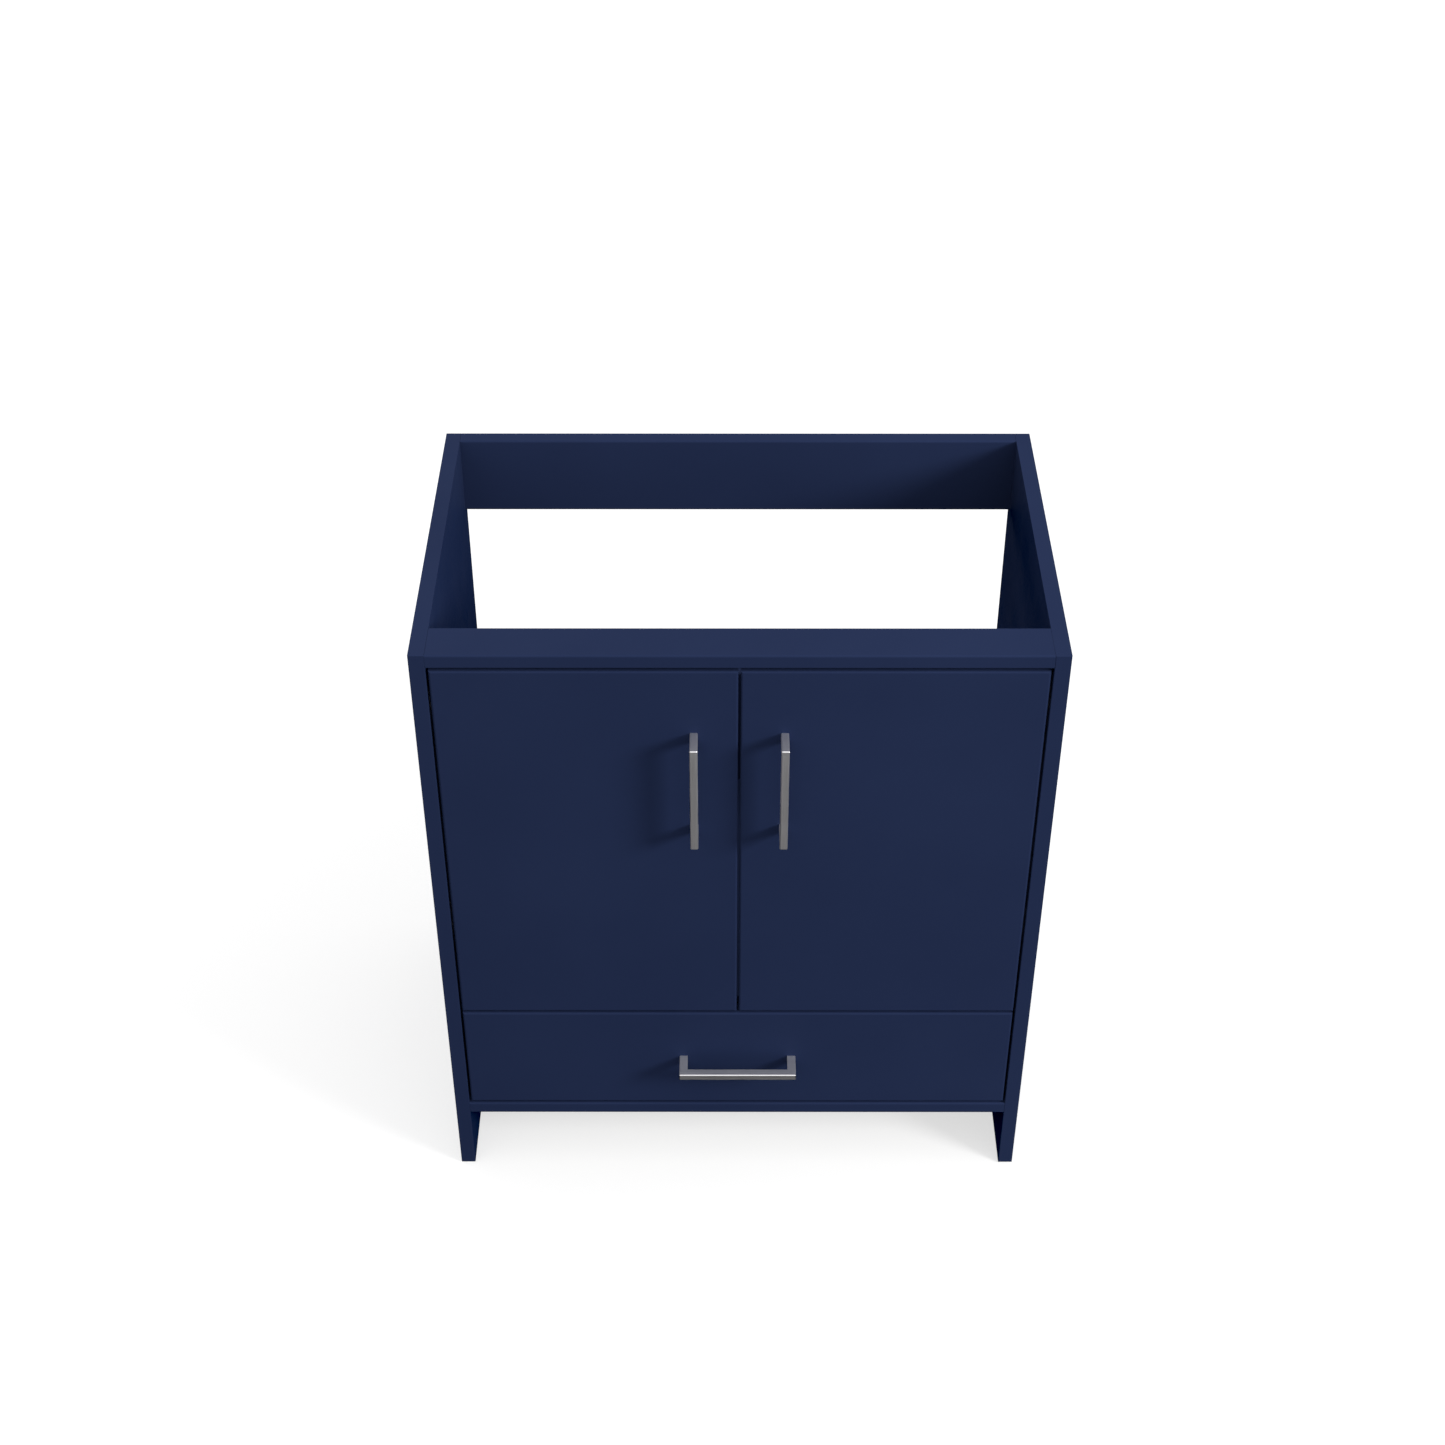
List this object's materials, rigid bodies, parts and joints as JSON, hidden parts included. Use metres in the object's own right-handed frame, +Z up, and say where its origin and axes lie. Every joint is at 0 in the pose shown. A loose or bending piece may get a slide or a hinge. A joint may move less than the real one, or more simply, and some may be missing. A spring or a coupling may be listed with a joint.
{
  "type": "bathroom vanity cabinet",
  "caption": "Free-standing vanity cabinet with an open top and upper back, a pair of inset flat doors over an inset flat drawer, and square bar pulls.",
  "frame": {"origin": "on the floor, in the middle of the width and halfway between the front of the pulls and the back of the cabinet", "axes": "+X to the right seen from the front, +Y towards the back, +Z up"},
  "size_m": [0.762, 0.5148, 0.882],
  "materials": {
    "navy_paint": "satin lacquer paint on board",
    "birch": "clear matt lacquer",
    "beech_dowel": "raw",
    "satin_nickel": "satin nickel",
    "nickel_plate": "nickel plated",
    "zinc_plate": "zinc plated",
    "zinc": "die cast",
    "nylon": "moulded",
    "clear_rubber": "soft"
  },
  "bodies": {
    "carcass": {"left_side_panel": "navy_paint", "right_side_panel": "navy_paint", "bottom_panel": "navy_paint", "compartment_shelf": "navy_paint", "front_top_rail": "navy_paint", "back_top_rail": "navy_paint", "back_lower_panel": "navy_paint", "carcass_dowels": "beech_dowel", "cam_bolts": "zinc", "cam_discs": "zinc", "floor_glides": "nylon", "left_upper_hinge_plate": "nickel_plate", "left_upper_hinge_arm": "nickel_plate", "left_lower_hinge_plate": "nickel_plate", "left_lower_hinge_arm": "nickel_plate", "right_upper_hinge_plate": "nickel_plate", "right_upper_hinge_arm": "nickel_plate", "right_lower_hinge_plate": "nickel_plate", "right_lower_hinge_arm": "nickel_plate", "hinge_plate_screws": "nickel_plate", "hinge_fixing_screws": "nickel_plate", "hinge_adjusting_screws": "nickel_plate", "left_slide_outer": "zinc_plate", "right_slide_outer": "zinc_plate", "slide_outer_screws": "zinc_plate"},
    "left_door_leaf": {"left_door": "navy_paint", "left_door_pull": "satin_nickel", "left_pull_screws": "zinc_plate", "left_upper_hinge_cup": "nickel_plate", "left_lower_hinge_cup": "nickel_plate", "left_cup_screws": "nickel_plate", "left_door_bumper": "clear_rubber"},
    "left_hinge_links": {"left_upper_hinge_link": "nickel_plate", "left_lower_hinge_link": "nickel_plate"},
    "right_door_leaf": {"right_door": "navy_paint", "right_door_pull": "satin_nickel", "right_pull_screws": "zinc_plate", "right_upper_hinge_cup": "nickel_plate", "right_lower_hinge_cup": "nickel_plate", "right_cup_screws": "nickel_plate", "right_door_bumper": "clear_rubber"},
    "right_hinge_links": {"right_upper_hinge_link": "nickel_plate", "right_lower_hinge_link": "nickel_plate"},
    "slide_middles": {"left_slide_middle": "zinc_plate", "right_slide_middle": "zinc_plate"},
    "drawer": {"drawer_front": "navy_paint", "drawer_left_wall": "birch", "drawer_right_wall": "birch", "drawer_sub_front": "birch", "drawer_back": "birch", "drawer_bottom": "birch", "drawer_dowels": "beech_dowel", "drawer_pull": "satin_nickel", "drawer_pull_screws": "zinc_plate", "drawer_front_screws": "zinc_plate", "left_slide_inner": "zinc_plate", "right_slide_inner": "zinc_plate", "slide_inner_screws": "zinc_plate", "drawer_bumpers": "clear_rubber"}
  },
  "joints": [
    {"name": "left_door_hinge", "type": "hinge", "parent": "carcass", "child": "left_door_leaf", "pos_m": [-0.3461, -0.21535, 0], "axis": [0, 0, -1], "range_deg": [0, 100]},
    {"name": "left_link_pivot", "type": "hinge", "parent": "carcass", "child": "left_hinge_links", "pos_m": [-0.32502, -0.19801, 0], "axis": [0, 0, 1], "range_deg": [0, 12.5]},
    {"name": "right_door_hinge", "type": "hinge", "parent": "carcass", "child": "right_door_leaf", "pos_m": [0.3461, -0.21535, 0], "axis": [0, 0, 1], "range_deg": [0, 100]},
    {"name": "right_link_pivot", "type": "hinge", "parent": "carcass", "child": "right_hinge_links", "pos_m": [0.32502, -0.19801, 0], "axis": [0, 0, -1], "range_deg": [0, 12.5]},
    {"name": "drawer_slide", "type": "slide", "parent": "carcass", "child": "drawer", "axis": [0, -1, 0], "range_m": [0, 0.38]},
    {"name": "middle_slide", "type": "slide", "parent": "carcass", "child": "slide_middles", "axis": [0, -1, 0], "range_m": [0, 0.195]}
  ],
  "couplings": [
    {"joint": "left_link_pivot", "follows": "left_door_hinge", "ratio": 0.123},
    {"joint": "right_link_pivot", "follows": "right_door_hinge", "ratio": 0.123},
    {"joint": "middle_slide", "follows": "drawer_slide", "ratio": 0.5}
  ]
}
